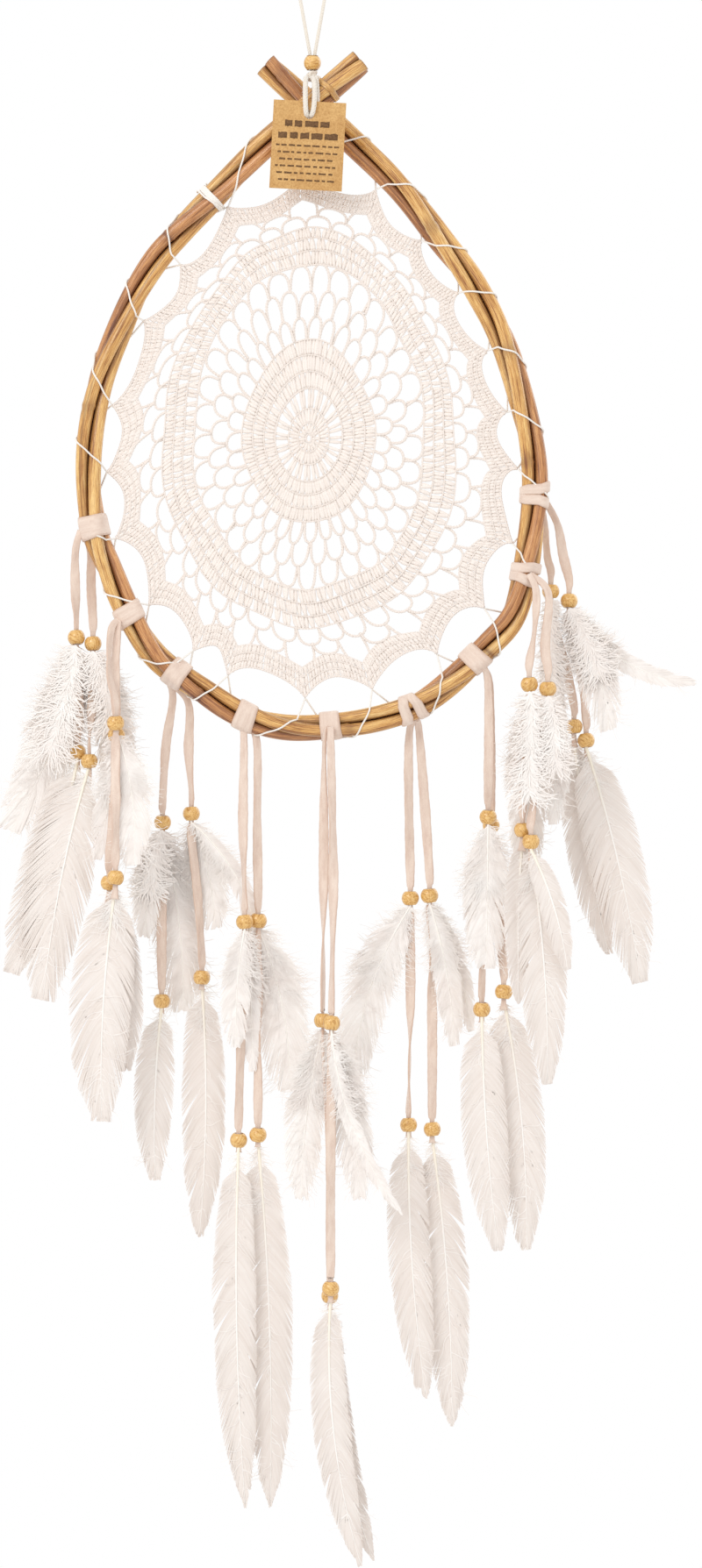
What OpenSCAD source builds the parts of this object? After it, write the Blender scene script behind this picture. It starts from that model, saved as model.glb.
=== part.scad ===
// Teardrop dream catcher: three canes twisted into a hoop, a crocheted web laced inside it,
// nine suede laces with wooden beads and feathers, a cord to hang it by and a card tag.
// X runs to the right, Y away from the viewer and Z up.
// The origin is the inside of the top of the hanging loop, where it rests on its nail.

/* [Hoop] */
// Diameter of each of the three canes
cane_d = 7.4; // [6.8:0.1:7.4]
// Turns that the canes make round each other along the hoop
twist_turns = 3.5; // [2:0.5:4.5]

/* [Web] */
// Thickness of the crocheted web
web_t = 1.6; // [1.2:0.2:2.4]
// Depth of the scallops between the points of the web
scallop_depth = 15; // [10:1:18]
// Diameter of the thread that laces the web to the hoop
thread_d = 1.1; // [0.9:0.1:1.1]

/* [Laces] */
// Width of a suede lace
lace_w = 6; // [5:0.5:6]
// Thickness of a suede lace
lace_t = 1.5; // [1.1:0.1:1.5]
// Width of the band that a folded lace makes round the hoop
hitch_w = 12; // [10:1:12]

/* [Beads] */
// Diameter of a wooden bead
bead_d = 10; // [9:0.5:10]
// Height of a wooden bead along its bore
bead_h = 7.8; // [7:0.2:8]
// Diameter of the bore of a lace bead
bead_bore = 4; // [3.8:0.1:4.4]

/* [Feathers] */
// Thickness of a feather's vane at its thickest
feather_t = 2; // [1.2:0.2:2]

/* [Tag] */
// Width of the card tag
tag_w = 41; // [36:1:44]
// Height of the card tag
tag_h = 50; // [44:1:54]
// Thickness of the card
tag_t = 0.6; // [0.4:0.1:0.8]
// Lean of the tag to the left
tag_lean = 3; // [0:1:5]

/* [Hanging cord] */
// Diameter of the cotton cord
cord_d = 2.4; // [2:0.1:2.4]

/* [Hidden] */

// The three canes touch each other round the middle line of the hoop
cane_offset = cane_d / sqrt(3) + 0.08;
bundle_r = cane_offset + cane_d / 2;
// Middle line of the hoop, from the end of the right arm, in front of the crossing, round the
// left side, the bottom and the right side, and behind the crossing to the end of the left arm
hoop_points = [
    [28, -8.8, -67], [0, -8.8, -90], [-24, -6.5, -111], [-52, -2.5, -139], [-74, -0.5, -160],
    [-90, 0, -180], [-107, 0, -212], [-122, 0, -250], [-127, 0, -289], [-124, 0, -331],
    [-116, 0, -355], [-104, 0, -380], [-87, 0, -406], [-62, 0, -425], [-38, 0, -438],
    [-10, 0, -445], [24, 0, -443], [56, 0, -433], [80, 0, -418], [101, 0, -398],
    [115, 0, -378], [124, 0, -342], [127, 0, -305], [121, 0, -268], [109, 0, -224],
    [94, 0, -196], [76, 0.5, -171], [50, 2.5, -136], [18, 7, -106], [0, 8.8, -90],
    [-26, 8.8, -65],
];

// Points of the web, clockwise from the one behind the tag
web_centre = [-2, -280];
web_tips = [
    [-6, -130], [36, -138], [62, -167], [83, -197], [100, -230], [111, -265], [118, -297],
    [114, -340], [98, -377], [71, -403], [34, -423], [-4, -428], [-48, -415], [-68, -401],
    [-93, -375], [-112, -337], [-117, -299], [-114, -261], [-96, -213], [-75, -181],
    [-48, -148],
];
// Where the thread goes round the hoop for the point behind the tag
top_tie = [14, -108];
// Where the thread starts and ends
thread_start = [-56, -143];
thread_wrap_w = 3.6;
// Gap between the canes and a band wound round them
band_gap = 0.3;

// Hanging cord, up its left strand, over the nail and down its right strand
loop_route = [
    [-1.25, 0, -70], [-1.25, 0, -66], [-1.4, 0, -61], [-2.6, 0, -54], [-4.2, 0, -45],
    [-5.8, 0, -36], [-7.4, 0, -27], [-9, 0, -18], [-10.2, 0, -11], [-10.4, 0, -6],
    [-8.8, 0, -2], [-5.4, 0, 0.4], [0, 0, 1.2], [5.4, 0, 0.4], [8.8, 0, -2], [10.4, 0, -6],
    [10.2, 0, -11], [9, 0, -18], [7.4, 0, -27], [5.8, 0, -36], [4.2, 0, -45], [2.6, 0, -54],
    [1.4, 0, -61], [1.25, 0, -66], [1.25, 0, -70],
];
// Each strand of the loop is pressed thinner, so that both go through the top bead
loop_strand_d = cord_d - 0.2;
loop_bead_z = -65.9;
loop_bead_h = 8;
loop_bead_bore = 5.4;
// The knot is a ball, flattened a little at its top and bottom, and the hoop swings about its middle
knot_z = -73.4;
knot_r = 3.4;
knot_h = 5.9;
// Cord that holds the crossing up under the knot
lashing_route = [
    [2.2, 0, -78.2], [2.2, -5, -77.2], [2.2, -9, -76], [2.4, -13.6, -76.6],
    [2.8, -17.2, -79.6], [3.2, -18.6, -86], [3.2, -18.6, -95], [3.2, -16.8, -101],
    [3.2, -10, -105], [3.2, 0, -105.8], [3.2, 10, -105], [3.2, 16.8, -101], [3.2, 18.6, -95],
    [3.2, 18.6, -86], [3, 16.4, -79.6], [2.6, 9, -78.4], [2.3, 0.4, -78.2],
];
// Split cane wound once round the front arm, square to the arm
// Its place counts along hoop_line, from the end of that arm
binding_index = 3.5;
binding_t = 0.5;
binding_w = 3.5;
// Each strand of the tag's cord, from the knot over the crossing and through the tag's hole
tag_hole = [-1.5, -20.6, -98.5];
tag_cord_route = [
    [0, -3.9, -75.4], [0, -8, -76.2], [0, -14, -76.9], [0, -19, -79], [0, -21.4, -83],
    [0, -22.2, -89], [0, -22.3, -94], [0, -21.9, -97.4], [0, -20.6, -98.5], [0, -18.6, -98.5],
];
tag_cord_d = 2;
// Half of the distance between the middles of the two strands
tag_strand_offset = 1.08;
// Knot behind the tag, and how far its front is behind the middle of the card
stopper_r = 2.9;
stopper_t = 1.8;
stopper_behind = 1.4;
tag_hole_d = 5.2;
// Height of the hole above the middle of the tag
tag_hole_rise = 17.5;

// Where each lace is hitched on the hoop
hitches = [
    [-124, -333], [-105, -379], [-75, -415], [-36, -439], [8, -446], [57, -433], [94, -405],
    [121, -357], [127, -316],
];
// The two tails of each lace: start, bend, upper bead, bend, lower bead and cut end
tails = [
    [
        [[-135, -1, -345], [-135, -0.5, -368], [-134.5, 0, -393.5], [-133, 1, -428],
            [-134, 2.6, -459], [-134.5, 2.6, -470]],
        [[-127, 9.8, -345], [-126.5, 7.5, -365], [-125, 0, -397], [-125.5, -0.5, -432],
            [-127, -2.6, -464], [-128, -2.6, -478]],
    ],
    [
        [[-114, -12.8, -390], [-115, -16, -412], [-111, -20.5, -442.5], [-111, -22.5, -487],
            [-111, -23.6, -530], [-111.5, -23.6, -542]],
        [[-110.5, -10.7, -392], [-112, -11.5, -415], [-111, -13, -449.2], [-112.5, -14, -490],
            [-115, -14.8, -533], [-115.5, -14.8, -545]],
    ],
    [
        [[-80, 10.7, -429], [-84, 13, -455], [-86, 14.6, -499], [-86.5, 14.6, -550],
            [-86.5, 14.6, -601.5], [-86.5, 14.6, -609]],
        [[-71, 11.5, -431], [-71, 13.5, -458], [-69.5, 14.6, -494], [-66, 14.6, -540],
            [-63.5, 14.6, -588], [-63.5, 14.6, -595]],
    ],
    [
        [[-39, -1.5, -451], [-39.5, -2.6, -500], [-38.5, -3.4, -555.5], [-40.5, -2.6, -618],
            [-42, 0, -680], [-42, 0, -687]],
        [[-32, 1.5, -451], [-31.5, 2.6, -500], [-31, 3.4, -555], [-31, 2.6, -616],
            [-31, 0, -677], [-31, 0, -684]],
    ],
    [
        [[7, -10.9, -452], [6.5, -13, -530], [6, -14.6, -611], [8.5, -14.8, -690],
            [10, -14.6, -767], [10, -14.6, -775]],
        [[10.5, -14.2, -452], [12, -20, -530], [11, -23.4, -612], [10.5, -23.4, -690],
            [10.5, -23.4, -762], [10.5, -23.4, -770]],
    ],
    [
        [[55.5, 10.8, -447], [55, 13, -480], [56, 14.6, -542.5], [56, 14.6, -608],
            [55, 14.6, -672.5], [55, 14.6, -680]],
        [[61, 12.8, -447], [64, 14, -485], [67, 14.6, -541], [68.5, 14.6, -608],
            [68.5, 14.6, -675], [68.5, 14.6, -683]],
    ],
    [
        [[100, -2, -420], [100.5, -3.5, -455], [100, -4.2, -495.8], [98, -2.4, -550],
            [96.5, 0, -605.5], [96.5, 0, -613]],
        [[101, 2, -420], [101.5, 3.5, -455], [102, 4.4, -500.6], [106, 2.4, -550],
            [109, 0, -595.5], [109, 0, -606]],
    ],
    [
        [[127, -11.5, -368], [126, -13, -390], [123, -14.6, -420.5], [121, -16.5, -462],
            [119, -18.4, -503], [118.5, -18.4, -515]],
        [[134, -11.5, -369], [132, -13, -398], [133.5, -14.6, -423], [129, -20, -465],
            [123.5, -24.6, -509.5], [124.5, -24.6, -523]],
    ],
    [
        [[133, 11.5, -331], [134.5, 12.5, -347], [136.5, 14.6, -366.5], [144, 17, -405],
            [150, 19, -444], [150.5, 19, -456]],
        [[140, 11, -328], [143.5, 12.5, -346], [147, 14.6, -372], [153, 17, -412],
            [157, 19, -452], [157.5, 19, -464]],
    ],
];
// Each feather is its quill's end, its tip, the width of its vane and the bow of its shaft
upper_feathers = [
    [
        [[-134.5, 2.8, -398], [-173, 8, -504], 36, -6],
        [[-125, 0.8, -401.5], [-110, 5.2, -482], 26, -4],
    ],
    [
        [[-110, -17.5, -449], [-101, -19.2, -523], 26, -4],
        [[-113, -11.5, -454], [-122, -11.2, -520], 16, -2],
    ],
    [
        [[-86, 16.2, -503.5], [-74, 21.8, -608], 34, -3],
        [[-69.5, 16.2, -499], [-56, 18.6, -560], 24, -3],
        [[-69.5, 12.8, -499], [-30, 11.2, -581], 12, -10],
        [[-86, 12.8, -503.5], [-96, 11.2, -565], 20, 2],
    ],
    [
        [[-31, 5.4, -559.5], [-13, 7.2, -652], 34, -5],
        [[-38.5, -5.6, -560], [-43, -6, -627], 18, 2],
        [[-36, 0, -562], [-34, 0, -641], 14, 0],
    ],
    [
        [[6, -13, -616], [-6, -11.4, -713], 24, 3],
        [[11, -21.5, -617], [27, -19.4, -712], 24, -3],
        [[11, -25.4, -617], [51, -27, -720], 10, 8],
    ],
    [
        [[56, 13, -547], [23, 11.8, -648], 30, 7],
        [[67, 13, -545.5], [81, 11.8, -627], 18, -3],
        [[67, 16.4, -545.5], [91, 18, -619], 14, -4],
    ],
    [
        [[100, -6.2, -500.5], [99, -6.6, -582], 28, 0],
        [[102, 6.2, -505], [97, 6.8, -575], 24, 2],
    ],
    [
        [[123, -12.8, -425], [122, -11.6, -529], 26, 0],
        [[133.5, -14, -427.5], [137, -14.2, -500], 18, -2],
    ],
    [
        [[147, 13, -376.5], [170, 11.6, -446], 26, -4],
        [[147, 16, -376.5], [220, 17.5, -419], 13, 10],
        [[136.5, 12.8, -371], [146, 11.6, -482], 14, 3],
    ],
];
lower_feathers = [
    [
        [[-134, -0.4, -464], [-171, -4.6, -585], 34, -4],
        [[-127.5, -3.4, -469], [-153, -7.4, -600], 40, 3],
    ],
    [
        [[-111, -21.6, -535], [-119, -19.5, -668], 38, 3],
        [[-115, -13, -538], [-106, -11.8, -640], 26, -3],
    ],
    [
        [[-86.5, 12.8, -606], [-90, 12, -704], 24, 2],
        [[-63.5, 16.4, -592.5], [-65, 17.4, -737], 26, -3],
    ],
    [
        [[-42, -1.9, -684.5], [-38, -3, -890], 26, 3],
        [[-31, 1.9, -681.5], [-24, 3, -890], 30, -3],
    ],
    [
        [[10.5, -21.6, -767], [28, -20.5, -920], 22, 7],
        [[10, -13.8, -772], [35, -12.4, -918], 20, 7],
    ],
    [
        [[55, 12.8, -677], [65, 11.8, -829], 26, 3],
        [[68.5, 16.4, -679.5], [80, 17.6, -846], 28, -3],
    ],
    [
        [[96.5, -1.9, -610], [106, -3.2, -743], 28, 2],
        [[109, 1.9, -600], [122, 3.2, -743], 30, -4],
    ],
    [
        [[123.5, -22.6, -514], [133, -19.4, -647], 28, -3],
        [[123.5, -26.6, -514], [144, -27.5, -582], 16, -3],
        [[119, -16.4, -507.5], [117, -15.4, -602], 16, 1],
    ],
    [
        [[157, 17.2, -456.5], [188, 16, -591], 34, -3],
        [[150, 20.9, -448.5], [170, 22, -575], 24, 2],
    ],
];

// A point at the share t of the curve's span i, on a smooth curve through the points p
function on_curve(p, i, t) =
    let (
        last = len(p) - 1,
        a = p[max(i - 1, 0)],
        b = p[i],
        c = p[min(i + 1, last)],
        d = p[min(i + 2, last)]
    )
    (2 * b + (c - a) * t + (2 * a - 5 * b + 4 * c - d) * t ^ 2
        + (3 * b - a - 3 * c + d) * t ^ 3) / 2;
function smooth(p, steps) = [
    for (i = [0 : len(p) - 2], j = [0 : steps - 1]) on_curve(p, i, j / steps),
    p[len(p) - 1],
];
function unit(v) = v / norm(v);
function heading(p, i) = unit(p[min(i + 1, len(p) - 1)] - p[max(i - 1, 0)]);
function between(a, b, t) = a + (b - a) * t;
// A point at a whole or part index of a path
function at(p, u) = let (i = min(floor(u), len(p) - 2)) between(p[i], p[i + 1], u - i);
function flat(p) = [p[0], p[2]];
function across(d) = unit(cross([0, 1, 0], d));

hoop_steps = 5;
hoop_line = smooth(hoop_points, hoop_steps);
// The place on the hoop's middle line nearest to a point of its plane
function nearest(q) =
    let (away = [for (p = hoop_line) norm(flat(p) - q)]) search(min(away), away)[0];
// A point of the web, kept clear of the canes
function inside_hoop(q) =
    let (p = flat(hoop_line[nearest(q)]), gap = bundle_r + 1.5)
    norm(q - p) > gap ? q : p + unit(q - p) * gap;
tips = [for (q = web_tips) inside_hoop(q)];
tie_index = [for (k = [0 : len(tips) - 1]) nearest(k == 0 ? top_tie : tips[k])];

// A closed solid through a list of rings with equal numbers of points, each of which runs
// counterclockwise when seen from the far end
module skin(rings) {
    n = len(rings[0]);
    last = len(rings) - 1;
    sides = [
        for (i = [0 : last - 1], j = [0 : n - 1])
            let (a = i * n + j, b = i * n + (j + 1) % n)
            each [[a, b + n, b], [a, a + n, b + n]]
    ];
    caps = [[for (j = [0 : n - 1]) j], [for (j = [n - 1 : -1 : 0]) last * n + j]];
    polyhedron(points = [for (ring = rings) each ring], faces = concat(sides, caps));
}

// An oval ring round a point, half_w wide along u and half_t along v
function ring(p, u, v, half_w, half_t, n = 8) = [
    for (j = [0 : n - 1])
        let (a = 360 * j / n) p + u * half_w * cos(a) + v * half_t * sin(a)
];

// A round cord along a route
module cord(route, d, up = [0, 1, 0]) {
    skin([
        for (i = [0 : len(route) - 1])
            let (t = heading(route, i), u = unit(cross(up, t)))
            ring(route[i], u, cross(t, u), d / 2, d / 2)
    ]);
}

// One cane, which winds round the hoop's middle line
module cane(phase) {
    steps = 2;
    line = smooth(hoop_points, steps);
    last = len(line) - 1;
    color("peru") skin([
        for (i = [0 : last])
            let (
                t = heading(line, i),
                out = across(t),
                front = cross(t, out),
                a = phase + 360 * twist_turns * i / last
            )
            ring(line[i] + cane_offset * (out * cos(a) + front * sin(a)), out, front,
                cane_d / 2, cane_d / 2, 10)
    ]);
}

module cane_a() { cane(0); }
module cane_b() { cane(120); }
module cane_c() { cane(240); }

// A band round the hoop, centred on a point and square to a direction
module band(p, direction, inner_r, outer_r, width) {
    translate(p)
        rotate([0, acos(direction[2]), atan2(direction[1], direction[0])])
            difference() {
                cylinder(h = width, r = outer_r, center = true, $fn = 48);
                cylinder(h = width + 2, r = inner_r, center = true, $fn = 48);
            }
}
module band_on_hoop(q, thick, width) {
    i = nearest(q);
    inner_r = bundle_r + band_gap;
    band(hoop_line[i], heading(hoop_line, i), inner_r, inner_r + thick, width);
}

module bead(p, d, h, bore) {
    translate(p) difference() {
        intersection() {
            sphere(d = d, $fn = 48);
            cube([d + 1, d + 1, h], center = true);
        }
        cylinder(h = h + 2, d = bore, center = true, $fn = 48);
    }
}

module hanging_loop() { color("ivory") cord(loop_route, loop_strand_d); }
module loop_bead() { color("burlywood") bead([0, 0, loop_bead_z], bead_d, loop_bead_h, loop_bead_bore); }
module loop_knot() {
    color("ivory") translate([0, 0, knot_z]) intersection() {
        sphere(r = knot_r, $fn = 48);
        cube([3 * knot_r, 3 * knot_r, knot_h], center = true);
    }
}
module crossing_lashing() { color("ivory") cord(lashing_route, cord_d, [1, 0, 0]); }
module crossing_binding() {
    before = at(hoop_line, binding_index - 0.5);
    after = at(hoop_line, binding_index + 0.5);
    inner_r = bundle_r + band_gap;
    color("sandybrown")
        band(between(before, after, 0.5), unit(after - before), inner_r,
            inner_r + binding_t, binding_w);
}

// The web is a star whose edge is scalloped between its points
module web() {
    count = len(tips);
    outline = [
        for (k = [0 : count - 1], t = [0, 0.14, 0.3, 0.5, 0.7, 0.86])
            let (
                a = tips[k],
                b = tips[(k + 1) % count],
                p = between(a, b, t),
                inward = unit(web_centre - between(a, b, 0.5))
            )
            p + inward * scallop_depth * sqrt(sin(180 * t))
    ];
    color("linen") rotate([90, 0, 0])
        linear_extrude(height = web_t, center = true) polygon(outline);
}

// The thread leaves a point of the web, goes once round the hoop and on to the next point
module lacing_thread() {
    wrap_r = bundle_r + 1.3;
    start_angle = 135;
    turn_angle = 45;
    steps = 7;
    lead = 0.085;
    back_lead = 0.006;
    function turn(k) =
        let (
            from = tie_index[k],
            to = k == len(tips) - 1 ? from - 2 * hoop_steps : tie_index[k + 1]
        )
        [
            for (m = [0 : steps - 1])
                let (
                    u = between(from, to, lead * (m + 1) + back_lead * m ^ 2),
                    i = floor(u),
                    t = heading(hoop_line, i),
                    a = start_angle - turn_angle * m
                )
                at(hoop_line, u) + wrap_r * (across(t) * cos(a) + cross(t, across(t)) * sin(a))
        ];
    route = [
        for (k = [0 : len(tips) - 1]) each concat([[tips[k][0], 0, tips[k][1]]], turn(k))
    ];
    color("white") cord(route, thread_d, unit([0.3, 1, 0.2]));
}
module thread_wrap() { color("white") band_on_hoop(thread_start, thread_d, thread_wrap_w); }

module lace_hitches() {
    color("bisque") for (q = hitches) band_on_hoop(q, lace_t, hitch_w);
}

module tag_cord() {
    color("ivory") {
        for (side = [-1, 1])
            cord([for (p = tag_cord_route) p + [tag_hole[0] + side * tag_strand_offset, 0, 0]],
                tag_cord_d, [1, 0, 0]);
        translate([tag_hole[0], tag_hole[1] + stopper_behind + stopper_t / 2, tag_hole[2]])
            rotate([90, 0, 0])
                cylinder(h = stopper_t, r = stopper_r, center = true, $fn = 32);
    }
}
module hang_tag() {
    color("tan")
        translate(tag_hole) rotate([90, tag_lean, 0]) difference() {
            translate([0, -tag_hole_rise, 0]) cube([tag_w, tag_h, tag_t], center = true);
            cylinder(h = tag_t + 2, d = tag_hole_d, center = true, $fn = 48);
        }
}

// The stations of a tail, with the lace drawn in where it goes through a bead
function tail_stations(tail) =
    let (
        half = lace_w / 2,
        pinch = bead_bore * 0.36,
        up = [0, 0, bead_h / 2 + 1.2]
    )
    [
        [tail[0], half], [tail[1], half],
        [tail[2] + up, pinch], [tail[2] - up, pinch],
        [tail[3], half],
        [tail[4] + up, pinch], [tail[4] - up, pinch],
        [tail[5], half * 0.8],
    ];
module lace(k) {
    color("bisque") for (tail = tails[k - 1]) {
        stations = smooth([for (s = tail_stations(tail)) [each s[0], s[1]]], 2);
        route = [for (s = stations) [s[0], s[1], s[2]]];
        skin([
            for (i = [0 : len(route) - 1])
                let (t = heading(route, i), u = across(t))
                ring(route[i], u, cross(t, u), max(stations[i][3], bead_bore * 0.3),
                    lace_t / 2)
        ]);
    }
}
module beads(k) {
    color("burlywood") for (tail = tails[k - 1], i = [2, 4]) {
        bead(tail[i], bead_d, bead_h, bead_bore);
    }
}

// A closed blade as wide as a feather's vane, lens-shaped across and bowed along its shaft
module feather(f) {
    shares = [0, 0.05, 0.13, 0.25, 0.4, 0.55, 0.7, 0.83, 0.93, 1];
    root = f[0];
    run = f[1] - root;
    side = across([run[0], 0, run[2]]);
    skin([
        for (t = shares)
            let (
                swell = max(0.06, sin(180 * t ^ 0.75) ^ 0.7),
                p = root + [run[0] * t, run[1] * min(1, 4 * t), run[2] * t]
                    + side * f[3] * 4 * t * (1 - t)
            )
            ring(p, side, [0, 1, 0], f[2] / 2 * swell,
                feather_t / 2 * max(0.3, swell), 4)
    ]);
}
module feathers_upper(k) { color("whitesmoke") for (f = upper_feathers[k - 1]) feather(f); }
module feathers_lower(k) { color("whitesmoke") for (f = lower_feathers[k - 1]) feather(f); }

hanging_loop();
loop_bead();
loop_knot();
cane_a();
cane_b();
cane_c();
crossing_lashing();
crossing_binding();
web();
lacing_thread();
thread_wrap();
lace_hitches();
tag_cord();
hang_tag();
for (k = [1 : 9]) {
    lace(k);
    beads(k);
    feathers_upper(k);
    feathers_lower(k);
}
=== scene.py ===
import math

import bpy
import numpy as np
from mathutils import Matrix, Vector


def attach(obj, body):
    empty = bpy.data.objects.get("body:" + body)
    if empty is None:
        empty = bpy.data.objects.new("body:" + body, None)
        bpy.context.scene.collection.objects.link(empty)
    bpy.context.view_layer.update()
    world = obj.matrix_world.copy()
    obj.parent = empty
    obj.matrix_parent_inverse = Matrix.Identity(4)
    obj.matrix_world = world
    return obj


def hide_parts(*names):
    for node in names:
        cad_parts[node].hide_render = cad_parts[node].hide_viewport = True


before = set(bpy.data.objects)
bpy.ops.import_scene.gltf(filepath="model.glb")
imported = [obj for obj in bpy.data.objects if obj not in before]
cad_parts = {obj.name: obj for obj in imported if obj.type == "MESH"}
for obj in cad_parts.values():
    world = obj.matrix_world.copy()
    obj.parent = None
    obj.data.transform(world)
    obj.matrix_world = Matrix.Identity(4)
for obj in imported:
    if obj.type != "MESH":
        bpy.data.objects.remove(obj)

# Lengths in the tables below are millimetres. Every mesh and cord is turned into metres by MM.
MM = 0.001
TURN = 2 * math.pi
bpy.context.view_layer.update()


# -------- curves

def spline(a, b, c, d, t):
    """A point a share t of the way from b to c, on a smooth curve through all four."""
    return (2 * b + (c - a) * t + (2 * a - 5 * b + 4 * c - d) * t ** 2
            + (3 * b - a - 3 * c + d) * t ** 3) / 2


def on_curve(p, i, t):
    last = len(p) - 1
    return spline(*(p[max(0, min(last, i + o))] for o in (-1, 0, 1, 2)), t)


def smooth(points, steps):
    p = np.array(points, float)
    made = [on_curve(p, i, j / steps) for i in range(len(p) - 1) for j in range(steps)]
    return np.array(made + [p[-1]])


def unit(v):
    return v / np.maximum(np.linalg.norm(v, axis=-1, keepdims=True), 1e-9)


def headings(p):
    ahead = np.concatenate([p[1:], p[-1:]])
    behind = np.concatenate([p[:1], p[:-1]])
    return unit(ahead - behind)


def at(values, u):
    """Values at a whole or part index."""
    i = np.clip(np.floor(u).astype(int), 0, len(values) - 2)
    share = (u - i).reshape(u.shape + (1,) * (values.ndim - 1))
    return values[i] * (1 - share) + values[i + 1] * share


def lengths(p):
    return np.concatenate([[0], np.cumsum(np.linalg.norm(np.diff(p, axis=0), axis=1))])


def resample(p, spacing):
    run = lengths(p)
    count = max(3, int(round(run[-1] / spacing)) + 1)
    marks = np.linspace(0, run[-1], count)
    return np.stack([np.interp(marks, run, p[:, k]) for k in range(p.shape[1])], axis=1)


def turned(u, v, angle):
    """Directions turned from u towards v."""
    return u * np.cos(angle)[..., None] + v * np.sin(angle)[..., None]


def transported(p, start=(0, 1, 0)):
    """Sideways and upward directions that don't spin along a route."""
    t = headings(p)
    side = unit(np.cross(start, t[0]))
    sides = []
    for heading in t:
        side = unit(side - heading * np.dot(side, heading))
        sides.append(side)
    u = np.array(sides)
    return u, np.cross(t, u)


# -------- meshes

class Shape:
    """Points in millimetres, faces, and at each point a place in the grain and a tone."""

    def __init__(self):
        self.points, self.grain, self.tone, self.quads, self.caps = [], [], [], [], []
        self.count = 0

    def add(self, points, quads, caps=(), grain=None, tone=0.5):
        n = len(points)
        self.points.append(points)
        self.grain.append(points if grain is None else grain)
        self.tone.append(np.full(n, tone, float) if np.ndim(tone) == 0 else tone)
        self.quads.append(quads + self.count)
        self.caps += [[int(i) + self.count for i in cap] for cap in caps]
        self.count += n

    def mesh(self, name, smooth=True):
        points = np.concatenate(self.points) * MM
        faces = np.concatenate(self.quads).tolist() + self.caps
        mesh = bpy.data.meshes.new(name)
        mesh.from_pydata(points.tolist(), [], faces)
        grain = mesh.attributes.new("grain", "FLOAT_VECTOR", "POINT")
        grain.data.foreach_set("vector", np.concatenate(self.grain).astype(np.float32).ravel())
        tone = mesh.attributes.new("tone", "FLOAT", "POINT")
        tone.data.foreach_set("value", np.concatenate(self.tone).astype(np.float32))
        if smooth:
            mesh.shade_smooth()
        else:
            mesh.shade_flat()
        return mesh


def tube_quads(rings, sides):
    i, j = np.meshgrid(np.arange(rings - 1), np.arange(sides), indexing="ij")
    a, b = i * sides + j, i * sides + (j + 1) % sides
    return np.stack([a, b, b + sides, a + sides], axis=-1).reshape(-1, 4)


def ring_quads(rings, sides):
    """Faces of a tube whose last ring joins its first."""
    j = np.arange(sides)
    last = (rings - 1) * sides
    closing = np.stack([last + j, last + (j + 1) % sides, (j + 1) % sides, j], axis=-1)
    return np.concatenate([tube_quads(rings, sides), closing])


def around(sides):
    return np.arange(sides) * TURN / sides


def circle(sides):
    a = around(sides)
    return np.stack([np.cos(a), np.sin(a)], axis=1)


def sweep(shape, route, u, v, outline, half_u, half_v, tone=0.5, grain=None):
    """A closed solid along a route. Each ring runs counterclockwise seen from the far end."""
    n, m = len(route), len(outline)
    half_u = np.broadcast_to(half_u, n)[:, None, None]
    half_v = np.broadcast_to(half_v, n)[:, None, None]
    x, y = outline[None, :, 0, None], outline[None, :, 1, None]
    points = route[:, None] + u[:, None] * x * half_u + v[:, None] * y * half_v
    if grain is None:
        run = np.broadcast_to(lengths(route)[:, None, None], (n, m, 1))
        grain = np.concatenate([x * half_u, y * half_v, run], axis=2)
    caps = [list(range(m))[::-1], list(range((n - 1) * m, n * m))]
    shape.add(points.reshape(-1, 3), tube_quads(n, m), caps, grain.reshape(-1, 3), tone)


def tube(shape, route, radius, sides=8, tone=0.5, start=(0, 1, 0)):
    u, v = transported(route, start)
    sweep(shape, route, u, v, circle(sides), radius, radius, tone)


def plied(shape, route, radius, plies=3, pitch=5.0, start=(0, 1, 0), phase=0.0):
    """A twisted cord: plies that wind round a route."""
    u, v = transported(route, start)
    run = lengths(route)
    ply_r = radius * 0.56
    for k in range(plies):
        side = turned(u, v, phase + TURN * (run / pitch + k / plies))
        tube(shape, route + side * (radius - ply_r), ply_r, 7, 0.5, start)


def strips(shape, centre, half_w, thick, tone):
    """Many thin closed barbs, as arrays of barb by step, ridged towards the viewer."""
    barbs, steps = centre.shape[:2]
    t = unit(np.gradient(centre, axis=1))
    u = unit(np.cross(np.array([0.0, 1.0, 0.0]), t))
    ridge = np.cross(t, u)
    w = half_w[..., None]
    h = np.broadcast_to(thick, half_w.shape)[..., None]
    rings = np.stack([centre - u * w, centre + u * w, centre + ridge * h], axis=2)
    points = rings.reshape(-1, 3)
    base = tube_quads(steps, 3)
    per = steps * 3
    quads = (base[None] + (np.arange(barbs) * per)[:, None, None]).reshape(-1, 4)
    caps = []
    for k in range(barbs):
        caps += [[k * per + 2, k * per + 1, k * per], [k * per + per - 3 + j for j in range(3)]]
    shape.add(points, quads, caps, None, np.repeat(tone, per))


def make(name, shape, material, body, nodes=(), smooth=True):
    """One visible piece on its body, in place of the CAD nodes it replaces."""
    obj = bpy.data.objects.new(name, shape.mesh(name, smooth))
    bpy.context.scene.collection.objects.link(obj)
    obj.data.materials.append(material)
    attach(obj, body)
    if nodes:
        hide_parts(*nodes)
    return obj


# -------- materials

def srgb(r, g, b):
    def linear(c):
        c /= 255
        return c / 12.92 if c <= 0.04045 else ((c + 0.055) / 1.055) ** 2.4
    return (linear(r), linear(g), linear(b), 1)


WHITE = (255, 255, 255)


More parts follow.
